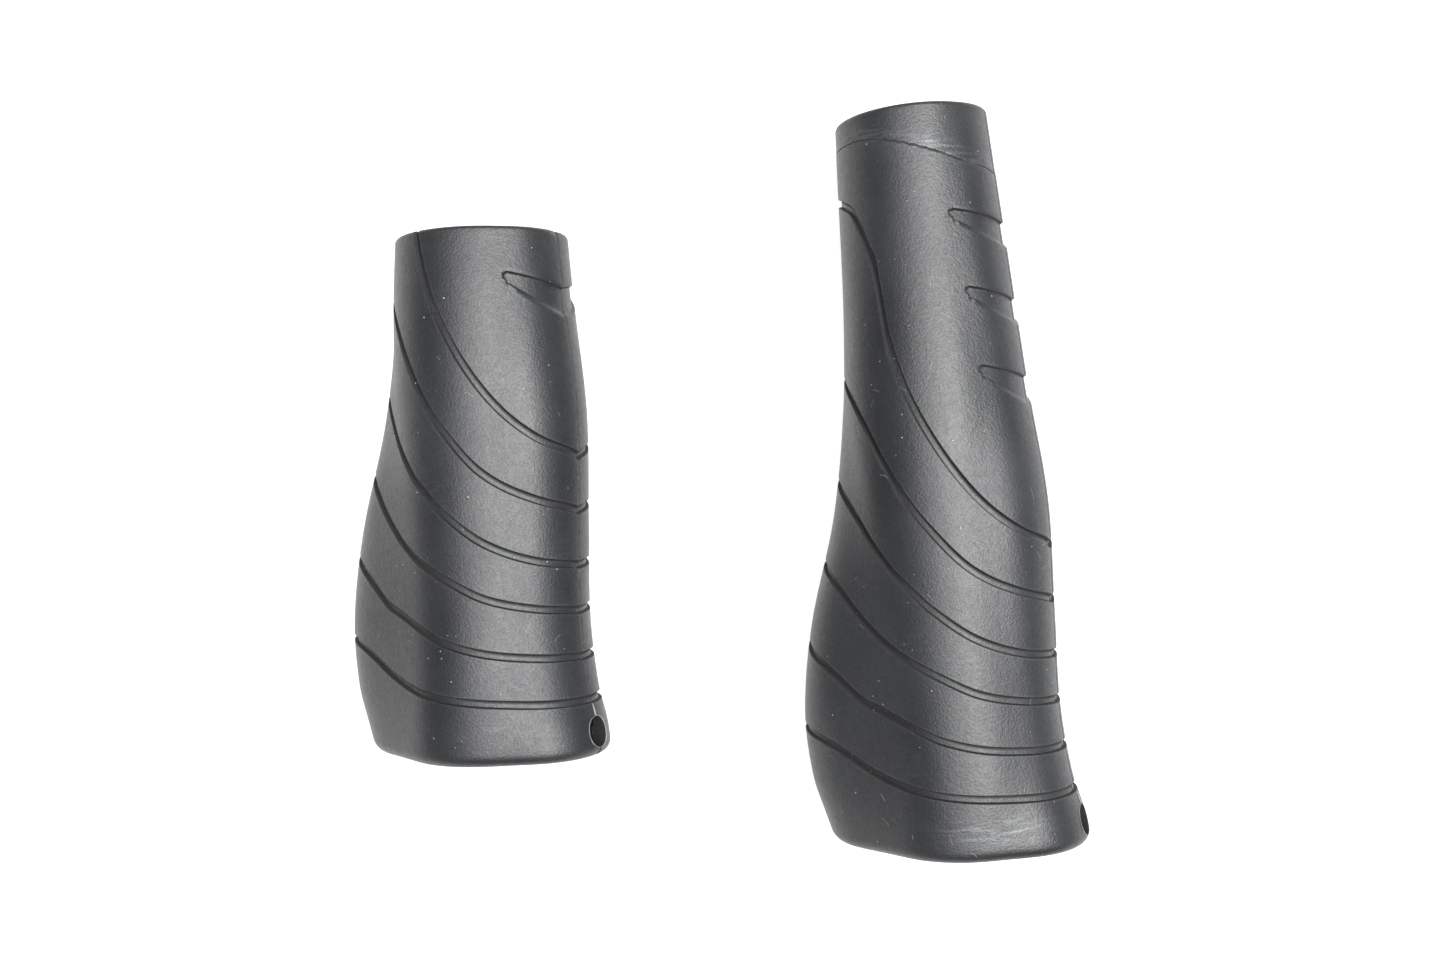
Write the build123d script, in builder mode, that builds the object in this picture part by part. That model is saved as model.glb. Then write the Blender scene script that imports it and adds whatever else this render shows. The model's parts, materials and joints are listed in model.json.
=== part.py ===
"""Pair of rubber handlebar grips for a bicycle, a long one and a short one, each with a screwed lock.

Both rubber bodies come from one shape, set out along the bar axis from the outboard end, and the short
body is that shape cut off earlier. The seat of a grip is the plane at its outboard end: X points to the
finger side, and Z runs along the bar to the inboard end. The shape is symmetric about the plane through
both, where the mould parts. The grips lie side by side on a floor at Z = 0, each on its flat flank.
"""
import os
from math import asin, atan2, cos, pi, radians, sin, sqrt

from build123d import *

# ---------------------------------------------------------------- driving dimensions, mm and degrees
LENGTHS = {"long": 130.0, "short": 92.0}
BORE_RADIUS = 11.15             # running fit on a standard 22.2 mm handlebar
PLACES = {"long": (44.5, -65.0), "short": (-38.6, -42.0)}
YAWS = {"long": 0.0, "short": 2.5}
REST_ROLL = 25.4                # lying on the flat flank lifts the finger side by this much
AXIS_HEIGHT = 18.17

# Outer shape: distance from the outboard end, barrel radius, finger ridge, palm swell
STATIONS = (
    (0.0, 16.9, 4.7, 8.4),
    (5.0, 16.9, 4.1, 9.9),
    (12.0, 16.8, 2.5, 12.0),
    (24.0, 16.4, 1.8, 13.0),
    (40.0, 16.3, 2.3, 10.3),
    (60.0, 16.1, 3.0, 4.2),
    (80.0, 15.8, 1.5, 0.8),
    (100.0, 14.6, 1.3, 0.1),
    (130.0, 13.6, 0.3, 0.1),
)
PALM_NOSE = 9.8                 # nose radius of the palm swell
FINGER_NOSE = 12.5              # nose radius of the finger ridge
SECTION_COUNT = 20
OUTLINE_POINTS = 24
OUTBOARD_ROUND = 2.2
INBOARD_ROUND = 0.7

# Grooves: angle from the finger edge (0) to the palm edge (180), then where each groove crosses it
GROOVES = (
    (0, 9.9, 17.4, 25.4, 33.3, 42.8, 52.3),
    (30, 10.0, 17.9, 26.4, 34.7, 45.4, 56.0),
    (60, 10.2, 18.9, 28.4, 38.4, 51.2, 65.3),
    (85, 10.9, 21.0, 31.8, 43.7, 59.0, 78.0),
    (100, 11.9, 22.7, 34.2, 47.8, 64.8, 91.0),
    (115, 13.0, 24.4, 36.8, 52.1, 71.6, 110.0),
    (140, 15.9, 27.9, 42.5, 59.5, 80.6, 114.5),
    (180, 22.0, 36.0, 52.0, 67.0, 84.0, 116.0),
)
GROOVE_WIDTH = 1.4
GROOVE_DEPTH = 0.5
GROOVE_RUN_OUT = 3.0            # each groove is carried on this far past both edges

# Finger notches, each a step at its crest that the surface climbs back from towards the opening
NOTCH_CRESTS = (82.0, 95.7, 109.4)
NOTCH_REACH = 5.6               # from the finger edge to the round tip, seen from the side
NOTCH_TIP_RISE = 1.2
NOTCH_TIP_RADIUS = 1.0
NOTCH_OPENING = 5.4
NOTCH_DEPTH = 0.45

# Locking parts at the outboard end
SCREW_PLACE = 4.3
ACCESS_RADIUS = 2.65
CAP_RADIUS = 13.4
CAP_THICKNESS = 1.2
CAP_EDGE = 0.3
CAP_GAP = 0.05
CAP_RECESS = 10.0
CAP_RECESS_DEPTH = 0.4
RING_WIDTH = 6.0
RING_BORE = 11.4
RING_RADIUS = 15.0
BOSS_RADIUS = 2.8
BOSS_REACH = 18.4
THREAD_RADIUS = 2.5
SCREW_RADIUS = 2.42
SCREW_END = 17.9
SCREW_EDGE = 0.35
HEX_ACROSS = 2.5
HEX_DEPTH = 1.9
PAD_RADIUS = 1.9
PAD_START = 11.4
PAD_END = 13.2
PAD_GAP = 0.05
KEY_COUNT = 4
KEY_WIDTH = 5.0
KEY_DEPTH = 1.8
KEY_GAP = 0.1

# Core sleeve
SLEEVE_RADIUS = 12.1
FLANGE_WIDTH = 1.0
LIP_WIDTH = 1.0                 # rubber past the sleeve's inboard edge
LIP_BORE = 11.6
RIB_COUNT = 6
RIB_HEIGHT = 0.4
RIB_WIDTH = 1.6
RIB_MARGIN = 6.0


def smooth(rows, place):
    """Values at a place on the smooth curves through rows of (place, value, value, ...)."""
    last = len(rows) - 1
    start = next(i for i in range(last) if place <= rows[i + 1][0] or i == last - 1)
    low, high = rows[start], rows[start + 1]
    before, after = rows[max(start - 1, 0)], rows[min(start + 2, last)]
    span = high[0] - low[0]
    share = (place - low[0]) / span
    ease = share * share * (3 - 2 * share)
    leave = span * share * (1 - share) ** 2
    arrive = -span * share**2 * (1 - share)
    values = []
    for column in range(1, len(low)):
        slope_low = (high[column] - before[column]) / (high[0] - before[0])
        slope_high = (after[column] - low[column]) / (after[0] - low[0])
        level = low[column] + ease * (high[column] - low[column])
        values.append(level + leave * slope_low + arrive * slope_high)
    return values


def nose_reach(angle, barrel, swell, nose):
    """Distance to the outline of a barrel circle drawn out to a nose circle that points to angle 0."""
    shift = max(barrel + swell - nose, barrel - nose + 0.01)
    lean = asin((barrel - nose) / shift)
    turn = abs((angle + pi) % (2 * pi) - pi)
    barrel_end = pi / 2 - lean
    nose_start = atan2(nose * cos(lean), shift + nose * sin(lean))
    if turn >= barrel_end:
        return barrel
    if turn >= nose_start:
        return barrel / cos(turn - barrel_end)
    return shift * cos(turn) + sqrt(nose**2 - (shift * sin(turn)) ** 2)


def outline_reach(angle, place):
    """Distance from the bar axis to the outer shape, at an angle in radians from the finger edge."""
    barrel, ridge, swell = smooth(STATIONS, place)
    finger = nose_reach(angle, barrel, ridge, FINGER_NOSE)
    palm = nose_reach(angle - pi, barrel, swell, PALM_NOSE)
    return max(finger, palm)


def outer_loft(inset=0.0):
    """The outer shape at its full length with the bar axis on Z, drawn in by inset."""
    full_length = STATIONS[-1][0]
    turns = [2 * pi * step / OUTLINE_POINTS for step in range(OUTLINE_POINTS)]
    knots = [step / OUTLINE_POINTS for step in range(OUTLINE_POINTS + 1)]
    with BuildPart() as shape:
        for section in range(SECTION_COUNT + 1):
            place = full_length * section / SECTION_COUNT
            points = []
            for turn in turns:
                reach = outline_reach(turn, place) - inset
                points.append(Vector(reach * cos(turn), reach * sin(turn)))
            with BuildSketch(Plane.XY.offset(place)):
                with BuildLine():
                    add(Edge.make_spline(points, parameters=knots, periodic=True))
                make_face()
        loft()
    return shape.part


def groove_line(column):
    """Points of one groove's middle line seen from the side, carried on past both edges."""
    points = []
    for row in GROOVES:
        angle, place = radians(row[0]), row[column]
        points.append((outline_reach(angle, place) * cos(angle), place))
    front_slope = (points[1][1] - points[0][1]) / (points[1][0] - points[0][0])
    back_slope = (points[-1][1] - points[-2][1]) / (points[-1][0] - points[-2][0])
    start = (points[0][0] + GROOVE_RUN_OUT, points[0][1] + GROOVE_RUN_OUT * front_slope)
    end = (points[-1][0] - GROOVE_RUN_OUT, points[-1][1] - GROOVE_RUN_OUT * back_slope)
    return [start, *points, end]


def groove_cutters(side):
    """Channels of even depth along the groove lines, as they run round both flanks."""
    with BuildPart() as cutters:
        for column in range(1, len(GROOVES[0])):
            with BuildSketch(side):
                with BuildLine():
                    Spline(*groove_line(column))
                trace(line_width=GROOVE_WIDTH)
            extrude(amount=2 * RING_RADIUS, both=True)
        add(outer_loft(GROOVE_DEPTH), mode=Mode.SUBTRACT)
    return cutters.part


def notch_cutters(side):
    """Shallow finger notches that cross the finger edge and end in a narrow tip on each flank."""
    with BuildPart() as cutters:
        for crest in NOTCH_CRESTS:
            edge = outline_reach(0.0, crest)
            tip_place = crest + NOTCH_TIP_RISE
            with BuildSketch(side):
                with BuildLine():
                    Polyline(
                        (edge - NOTCH_REACH, tip_place - 2 * NOTCH_TIP_RADIUS),
                        (edge - NOTCH_REACH, tip_place),
                        (edge + GROOVE_RUN_OUT, crest),
                        (edge + GROOVE_RUN_OUT, crest - NOTCH_OPENING),
                        close=True,
                    )
                make_face()
            extrude(amount=RING_RADIUS, both=True)
        add(outer_loft(NOTCH_DEPTH), mode=Mode.SUBTRACT)
    return cutters.part


def moulding():
    """The solid outer shape at its full length, with its grooves and finger notches."""
    side = Plane(origin=(0, 0, 0), x_dir=(1, 0, 0), z_dir=(0, -1, 0))
    with BuildPart() as shape:
        add(outer_loft())
        ends = shape.faces().filter_by(GeomType.PLANE).sort_by(Axis.Z)
        fillet(ends[0].edges(), OUTBOARD_ROUND)
        fillet(shape.faces().filter_by(GeomType.PLANE).sort_by(Axis.Z)[-1].edges(), INBOARD_ROUND)
        add(groove_cutters(side), mode=Mode.SUBTRACT)
        add(notch_cutters(side), mode=Mode.SUBTRACT)
    return shape.part


def write_piece(piece, name):
    """Name a finished piece and write its file."""
    piece.label = name
    export_step(piece, f"parts/{name}.step")


def make_grip(kind, outer_shape):
    """Build and write the six pieces of one grip."""
    length = LENGTHS[kind]
    yaw, roll = radians(YAWS[kind]), radians(REST_ROLL)
    axis = Vector(sin(yaw), cos(yaw), 0)
    front = Vector(cos(yaw) * cos(roll), -sin(yaw) * cos(roll), sin(roll))
    seat = Plane(origin=(*PLACES[kind], AXIS_HEIGHT), x_dir=front, z_dir=axis)
    radial = Plane(origin=seat.origin + SCREW_PLACE * axis, x_dir=axis, z_dir=front)
    ring_end = CAP_THICKNESS + RING_WIDTH
    sleeve_end = length - LIP_WIDTH
    key_start = 180 / KEY_COUNT

    # Aluminium ring in the outboard end, with a boss for the screw and slots that hold the sleeve
    with BuildPart() as lock_ring:
        with BuildSketch(seat.offset(CAP_THICKNESS)):
            Circle(RING_RADIUS)
        extrude(amount=RING_WIDTH)
        with BuildSketch(radial.offset(RING_BORE)):
            Circle(BOSS_RADIUS)
        extrude(amount=BOSS_REACH - RING_BORE)
        with BuildSketch(seat):
            Circle(RING_BORE)
        extrude(amount=ring_end, mode=Mode.SUBTRACT)
        with BuildSketch(radial):
            Circle(THREAD_RADIUS)
        extrude(amount=BOSS_REACH, mode=Mode.SUBTRACT)
        with BuildSketch(seat.offset(ring_end - KEY_DEPTH)):
            with PolarLocations(RING_RADIUS, KEY_COUNT, start_angle=key_start):
                Rectangle(2 * (RING_RADIUS - RING_BORE + 1), KEY_WIDTH + 2 * KEY_GAP)
        extrude(amount=KEY_DEPTH, mode=Mode.SUBTRACT)
    write_piece(lock_ring.part, f"{kind}_lock_ring")

    # Nylon sleeve that slides on the bar, keyed to the ring and ribbed under the rubber
    with BuildPart() as core_sleeve:
        with BuildSketch(seat.offset(ring_end)):
            Circle(SLEEVE_RADIUS)
        extrude(amount=sleeve_end - ring_end)
        with BuildSketch(seat.offset(ring_end)):
            Circle(RING_RADIUS)
        extrude(amount=FLANGE_WIDTH)
        with BuildSketch(seat.offset(ring_end + RIB_MARGIN)):
            with PolarLocations(SLEEVE_RADIUS, RIB_COUNT):
                Rectangle(2 * RIB_HEIGHT, RIB_WIDTH)
        extrude(amount=sleeve_end - ring_end - 2 * RIB_MARGIN)
        with BuildSketch(seat.offset(ring_end - KEY_DEPTH + KEY_GAP)):
            with PolarLocations(0, KEY_COUNT, start_angle=key_start):
                Rectangle(RING_RADIUS, KEY_WIDTH, align=(Align.MIN, Align.CENTER))
            Circle(RING_RADIUS, mode=Mode.INTERSECT)
            Circle(RING_BORE, mode=Mode.SUBTRACT)
        extrude(amount=KEY_DEPTH - KEY_GAP)
        with BuildSketch(seat):
            Circle(BORE_RADIUS)
        extrude(amount=length, mode=Mode.SUBTRACT)
    write_piece(core_sleeve.part, f"{kind}_core_sleeve")

    # Rubber body moulded over the ring and the sleeve, with the screw's access hole on the finger edge
    with BuildPart() as rubber_body:
        with Locations(seat.location):
            add(outer_shape)
        with BuildSketch(seat.offset(length)):
            Circle(3 * RING_RADIUS)
        extrude(amount=LENGTHS["long"], mode=Mode.SUBTRACT)
        with BuildSketch(seat):
            Circle(CAP_RADIUS + CAP_GAP)
        extrude(amount=CAP_THICKNESS, mode=Mode.SUBTRACT)
        with BuildSketch(seat.offset(CAP_THICKNESS)):
            Circle(RING_RADIUS)
        extrude(amount=RING_WIDTH + FLANGE_WIDTH, mode=Mode.SUBTRACT)
        with BuildSketch(radial):
            Circle(BOSS_RADIUS)
        extrude(amount=BOSS_REACH, mode=Mode.SUBTRACT)
        with BuildSketch(radial):
            Circle(ACCESS_RADIUS)
        extrude(amount=2 * RING_RADIUS, mode=Mode.SUBTRACT)
        with BuildSketch(seat):
            Circle(LIP_BORE)
        extrude(amount=length, mode=Mode.SUBTRACT)
        add(core_sleeve.part, mode=Mode.SUBTRACT)
    write_piece(rubber_body.part, f"{kind}_rubber_body")

    # Hexagon socket set screw in the ring's boss
    with BuildPart() as set_screw:
        with BuildSketch(radial.offset(PAD_END + PAD_GAP)):
            Circle(SCREW_RADIUS)
        extrude(amount=SCREW_END - PAD_END - PAD_GAP)
        chamfer(set_screw.edges().filter_by(GeomType.CIRCLE), SCREW_EDGE)
        with BuildSketch(radial.offset(SCREW_END - HEX_DEPTH)):
            RegularPolygon(HEX_ACROSS / 2, 6, major_radius=False)
        extrude(amount=HEX_DEPTH, mode=Mode.SUBTRACT)
    write_piece(set_screw.part, f"{kind}_set_screw")

    # Brass pad between the screw and the bar, its foot hollowed to the bar's curve
    with BuildPart() as pressure_pad:
        with BuildSketch(radial.offset(BORE_RADIUS)):
            Circle(PAD_RADIUS)
        extrude(amount=PAD_END - BORE_RADIUS)
        with BuildSketch(seat):
            Circle(PAD_START)
        extrude(amount=ring_end, mode=Mode.SUBTRACT)
    write_piece(pressure_pad.part, f"{kind}_pressure_pad")

    # Cap over the outboard end of the bar
    with BuildPart() as end_cap:
        with BuildSketch(seat):
            Circle(CAP_RADIUS)
        extrude(amount=CAP_THICKNESS - CAP_GAP)
        chamfer(end_cap.faces().sort_by(Axis(seat.origin, axis))[0].edges(), CAP_EDGE)
        with BuildSketch(seat.offset(CAP_THICKNESS - CAP_GAP - CAP_RECESS_DEPTH)):
            Circle(CAP_RECESS)
        extrude(amount=CAP_RECESS_DEPTH, mode=Mode.SUBTRACT)
    write_piece(end_cap.part, f"{kind}_end_cap")


os.makedirs("parts", exist_ok=True)
shared_shape = moulding()
for grip_kind in LENGTHS:
    make_grip(grip_kind, shared_shape)
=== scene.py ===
"""Looks of a long and a short rubber handlebar grip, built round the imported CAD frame.

Every grip has its own seat: the origin at the outboard end of the bar axis, X to the finger edge and Z
along the bar. Meshes are set out there in millimetres and are placed in the frame, in metres, at the end.
"""
import sys
import json
import logging
import math
from collections.abc import Callable
from dataclasses import dataclass, field
from enum import Enum

import bmesh
import bpy
import numpy as np
from mathutils import Matrix, Vector

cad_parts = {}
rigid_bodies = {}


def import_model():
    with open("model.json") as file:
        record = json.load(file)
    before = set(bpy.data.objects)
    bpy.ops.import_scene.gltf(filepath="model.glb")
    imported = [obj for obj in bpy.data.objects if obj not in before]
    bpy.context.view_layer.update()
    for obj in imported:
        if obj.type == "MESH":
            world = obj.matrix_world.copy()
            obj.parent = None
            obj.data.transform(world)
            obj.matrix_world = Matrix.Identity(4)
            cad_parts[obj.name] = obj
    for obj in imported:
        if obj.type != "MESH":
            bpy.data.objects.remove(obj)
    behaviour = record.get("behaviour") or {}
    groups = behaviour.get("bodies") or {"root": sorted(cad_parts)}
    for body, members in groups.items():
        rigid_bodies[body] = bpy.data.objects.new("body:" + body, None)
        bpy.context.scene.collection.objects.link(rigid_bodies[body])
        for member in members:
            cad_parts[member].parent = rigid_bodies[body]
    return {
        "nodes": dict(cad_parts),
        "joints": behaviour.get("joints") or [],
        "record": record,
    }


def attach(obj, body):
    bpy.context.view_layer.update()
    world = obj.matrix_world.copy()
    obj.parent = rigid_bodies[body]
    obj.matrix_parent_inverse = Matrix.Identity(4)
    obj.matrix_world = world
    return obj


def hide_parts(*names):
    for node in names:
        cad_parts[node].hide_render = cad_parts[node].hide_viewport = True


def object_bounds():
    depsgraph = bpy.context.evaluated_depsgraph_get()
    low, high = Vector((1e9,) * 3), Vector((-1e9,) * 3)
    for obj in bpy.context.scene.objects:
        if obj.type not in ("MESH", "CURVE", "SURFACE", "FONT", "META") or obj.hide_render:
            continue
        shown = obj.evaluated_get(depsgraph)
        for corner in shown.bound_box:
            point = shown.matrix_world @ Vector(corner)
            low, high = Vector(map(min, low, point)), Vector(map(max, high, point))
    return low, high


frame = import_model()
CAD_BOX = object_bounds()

MM = 0.001
LOG = logging.getLogger("grips")
RELIEF_DEPTHS = {
    "groove": "Groove Depth",
    "notch": "Notch Depth",
    "seam": "Seam Depth",
    "witness": "Witness Depth",
}
# Values carried at the mesh's points. The crevice mask is painted shade: near-black colour laid into the
# grooves, notch walls, seam, witness crease and access hole.
VALUE_NAMES = (*RELIEF_DEPTHS, "rim", "cavity", "lip", "scuff")


class Size(Enum):
    """The two lengths that the moulding is cut to, in millimetres."""

    LONG = 130.0
    SHORT = 92.0

    @property
    def label(self) -> str:
        """The size's name as the CAD parts have it."""
        return self.name.lower()


# ------------------------------------------------------------------------------------------ the shape rule
def smooth(rows: np.ndarray, place: np.ndarray) -> np.ndarray:
    """Read a table of rows (place, value, value, ...) on the smooth curves through its rows.

    Args:
        rows: The table, one row for each place.
        place: Where to read it, in any array shape.

    Returns:
        The values, with one more axis than place, for the table's columns.
    """
    place = np.asarray(place, float)
    last = len(rows) - 1
    start = np.clip(np.searchsorted(rows[:, 0], place, side="left") - 1, 0, last - 1)
    low, high = rows[start], rows[start + 1]
    before, after = rows[np.maximum(start - 1, 0)], rows[np.minimum(start + 2, last)]
    span = high[..., :1] - low[..., :1]
    share = (place[..., None] - low[..., :1]) / span
    slope_low = (high[..., 1:] - before[..., 1:]) / (high[..., :1] - before[..., :1])
    slope_high = (after[..., 1:] - low[..., 1:]) / (after[..., :1] - low[..., :1])
    level = low[..., 1:] + share * share * (3 - 2 * share) * (high[..., 1:] - low[..., 1:])
    leave = span * share * (1 - share) ** 2 * slope_low
    arrive = span * share**2 * (1 - share) * slope_high
    return level + leave - arrive


def ease(value: np.ndarray) -> np.ndarray:
    """Soft step from 0 at 0 to 1 at 1."""
    value = np.clip(value, 0.0, 1.0)
    return value * value * (3 - 2 * value)


@dataclass(frozen=True)
class GripShape:
    """The outer shape that both rubber bodies share, in millimetres and degrees from the finger edge."""

    stations: tuple = (
        (0.0, 16.9, 4.7, 8.4),
        (5.0, 16.9, 4.1, 9.9),
        (12.0, 16.8, 2.5, 12.0),
        (24.0, 16.4, 1.8, 13.0),
        (40.0, 16.3, 2.3, 10.3),
        (60.0, 16.1, 3.0, 4.2),
        (80.0, 15.8, 1.5, 0.8),
        (100.0, 14.6, 1.3, 0.1),
        (130.0, 13.6, 0.3, 0.1),
    )
    palm_nose: float = 9.8
    finger_nose: float = 12.5
    outboard_round: float = 2.2
    full_length: float = 130.0
    skin_inset: float = 0.1
    blend: tuple = ((-0.14, 0.1), (-0.07, 0.24), (0.0, 0.32), (0.07, 0.24), (0.14, 0.1))

    def nose_reach(
        self, turn: np.ndarray, barrel: np.ndarray, swell: np.ndarray, nose: float
    ) -> np.ndarray:
        """Distance to the outline of a barrel circle that is drawn out to a nose circle.

        Args:
            turn: Angle from the nose's direction, in radians.
            barrel: Radius of the barrel circle.
            swell: How far the nose stands out of the barrel.
            nose: Radius of the nose circle.

        Returns:
            The distance from the bar axis.
        """
        shift = np.maximum(barrel + swell - nose, barrel - nose + 0.01)
        lean = np.arcsin((barrel - nose) / shift)
        turn = np.abs((turn + np.pi) % (2 * np.pi) - np.pi)
        barrel_end = np.pi / 2 - lean
        nose_start = np.arctan2(nose * np.cos(lean), shift + nose * np.sin(lean))
        flank = barrel / np.cos(np.clip(turn - barrel_end, -1.5, 1.5))
        tip = shift * np.cos(turn) + np.sqrt(np.maximum(nose**2 - (shift * np.sin(turn)) ** 2, 0.0))
        return np.where(turn >= barrel_end, barrel, np.where(turn >= nose_start, flank, tip))

    def reach(self, angle: np.ndarray, place: np.ndarray) -> np.ndarray:
        """Distance from the bar axis to the skin.

        Args:
            angle: Angle from the finger edge, in radians.
            place: Distance from the outboard end.

        Returns:
            The distance, with the outboard edge already rounded.
        """
        barrel, ridge, swell = np.moveaxis(smooth(np.array(self.stations), place), -1, 0)
        reach = 0.0
        for shift, weight in self.blend:
            finger = self.nose_reach(angle + shift, barrel, ridge, self.finger_nose)
            palm = self.nose_reach(angle + shift - np.pi, barrel, swell, self.palm_nose)
            reach = reach + weight * np.maximum(finger, palm)
        short = np.clip(self.outboard_round - place, 0.0, self.outboard_round)
        rounding = self.outboard_round - np.sqrt(self.outboard_round**2 - short**2)
        return reach - rounding - self.skin_inset

    def point(self, angle: np.ndarray, place: np.ndarray) -> np.ndarray:
        """Points of the skin on the grip's seat.

        Args:
            angle: Angles from the finger edge, in radians.
            place: Distances from the outboard end.

        Returns:
            The points, with X, Y, Z on the last axis.
        """
        reach = self.reach(angle, place)
        return np.stack([reach * np.cos(angle), reach * np.sin(angle), place + 0 * angle], -1)

    def project(self, side: np.ndarray, place: np.ndarray) -> np.ndarray:
        """Points of the skin near the finger edge.

        Args:
            side: Sideways distances from the parting plane.
            place: Distances from the outboard end.

        Returns:
            The points, with X, Y, Z on the last axis.
        """
        angle = np.zeros_like(side)
        for _ in range(6):
            angle = np.arcsin(np.clip(side / self.reach(angle, place), -0.99, 0.99))
        return self.point(angle, place)


@dataclass(frozen=True)
class Relief:
    """Grooves, finger notches, parting seam and witness line of the moulding.

    Lengths are in millimetres, and angles are in degrees from the finger edge. A row of grooves is an angle
    and the six grooves' distances from the outboard end. A row of witness is an angle and a distance. A
    notch is its crest's distance, the crest's rise for each degree, the angle of its tip and its width.
    """

    grooves: tuple = (
        (0, 9.9, 17.4, 25.4, 33.3, 42.8, 52.3),
        (30, 10.1, 17.9, 26.3, 34.5, 45.1, 56.0),
        (60, 10.8, 19.1, 28.4, 37.9, 49.9, 64.8),
        (85, 11.6, 21.0, 32.0, 43.3, 57.9, 77.3),
        (100, 12.3, 22.8, 34.3, 47.5, 64.1, 89.9),
        (108, 12.7, 23.8, 35.6, 49.6, 68.0, 102.4),
        (125, 14.0, 25.8, 38.9, 55.0, 76.1, 112.4),
        (140, 15.9, 27.9, 43.0, 59.8, 81.0, 115.0),
        (160, 20.1, 34.2, 49.8, 65.0, 84.5, 116.5),
        (180, 22.5, 38.9, 53.0, 68.0, 86.0, 117.2),
    )
    groove_half: float = 0.72
    groove_wall: float = 0.2
    witness: tuple = (
        (0, 118.0), (30, 119.2), (60, 121.6), (90, 124.0), (115, 125.1), (140, 125.2), (180, 125.2)
    )
    notches: tuple = ((82.0, 0.055, 42.5, 5.5), (95.7, 0.050, 45.5, 4.9), (109.4, 0.040, 52.0, 4.9))
    notch_tip_width: float = 1.7
    notch_wall: float = 0.35
    notch_slope: float = 1.1
    seam_half: float = 0.26
    nick_half: float = 0.4
    flash_from: float = 6.9
    flash_to: float = 9.3

    @property
    def groove_count(self) -> int:
        """How many grooves the moulding has."""
        return len(self.grooves[0]) - 1

    def groove_place(self, degrees: np.ndarray, number: int) -> np.ndarray:
        """Distance from the outboard end to the middle of a groove, at folded angles in degrees."""
        return smooth(np.array(self.grooves, float), degrees)[..., number]

    def witness_place(self, degrees: np.ndarray) -> np.ndarray:
        """Distance from the outboard end to the slightly ragged witness line.

        Args:
            degrees: Angles from the finger edge, 0 to 180.

        Returns:
            The line's distances.
        """
        ragged = 0.06 * np.sin(degrees * 0.9) + 0.05 * np.sin(degrees * 2.3 + 1.0)
        ragged = ragged + 0.04 * np.sin(degrees * 5.1)
        return smooth(np.array(self.witness, float), degrees)[..., 0] + ragged

    def notch_band(self, degrees: np.ndarray, number: int) -> tuple[np.ndarray, np.ndarray]:
        """Opening edge and crest edge of a finger notch, at folded angles in degrees.

        Args:
            degrees: Angles from the finger edge, 0 to 180.
            number: Which notch, counted from the outboard end.

        Returns:
            The distances of both edges from the outboard end.
        """
        crest_front, rise, tip, front_width = self.notches[number]
        crest = crest_front + rise * np.minimum(degrees, tip)
        narrowing = np.clip(degrees / tip, 0.0, 1.0) ** 1.8
        width = front_width + (self.notch_tip_width - front_width) * narrowing
        return crest - width, crest

    def notch_depth(
        self, degrees: np.ndarray, place: np.ndarray, reach: np.ndarray, number: int
    ) -> tuple[np.ndarray, np.ndarray]:
        """Share of a notch's full depth at points of the skin, and how much of a steep wall each one is.

        Args:
            degrees: Angles from the finger edge, 0 to 180.
            place: Distances from the outboard end.
            reach: Distances from the bar axis.
            number: Which notch, counted from the outboard end.

        Returns:
            The depth, 0 outside the notch and 1 on its floor, and the steep walls, 1 in their middle.
        """
        opening, crest = self.notch_band(degrees, number)
        tip = self.notches[number][2]
        half = self.notch_tip_width / 2
        along = np.radians(tip - degrees) * reach - half
        past = np.maximum(-along, 0.0)
        middle = (opening + crest) / 2
        to_tip = half - np.hypot(past, np.where(past > 0, place - middle, 0.0))
        inside_tip = np.where(past > 0, to_tip, half)
        slope = self.notch_wall + (self.notch_slope - self.notch_wall) * ease(1 - degrees / tip)
        crest_wall = ease(np.where(past > 0, inside_tip, crest - place) / self.notch_wall)
        opening_wall = ease(np.where(past > 0, inside_tip, place - opening) / slope)
        opening_steep = opening_wall * (1 - opening_wall) * ease(degrees / tip)
        return crest_wall * opening_wall, 4 * np.maximum(crest_wall * (1 - crest_wall), opening_steep)


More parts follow.
